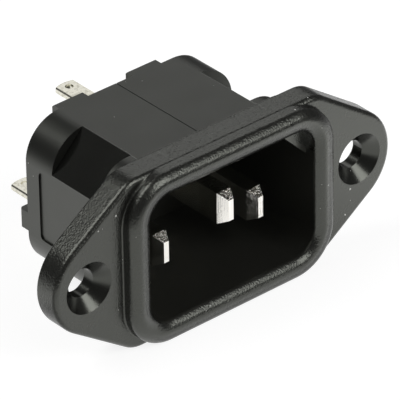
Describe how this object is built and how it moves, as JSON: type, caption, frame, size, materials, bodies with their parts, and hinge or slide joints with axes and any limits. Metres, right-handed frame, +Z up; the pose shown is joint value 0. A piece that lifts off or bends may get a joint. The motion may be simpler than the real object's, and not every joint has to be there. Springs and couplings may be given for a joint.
{
  "type": "mains appliance inlet",
  "caption": "Screw-fixed panel inlet for a detachable mains lead, with a keyed cavity, recessed blade pins and rear solder tabs.",
  "frame": {"origin": "midway between the two fixing holes, on the back of the flange, where the inlet bears on its panel", "axes": "+X along the two ears, to the right as seen from the mating side; +Y from the mating side to the solder tabs; +Z up, with the earth pin in the upper half"},
  "size_m": [0.0496, 0.0301, 0.0222],
  "materials": {
    "moulded_plastic": "black moulding, fine spark-eroded grain on the rim and the edge of the flange, smooth cavity and body",
    "plated_contact": "bright nickel plate over stamped brass, faint lines along the blade"
  },
  "bodies": {
    "root": {"housing": "moulded_plastic", "line_contact": "plated_contact", "neutral_contact": "plated_contact", "earth_contact": "plated_contact"}
  },
  "joints": []
}
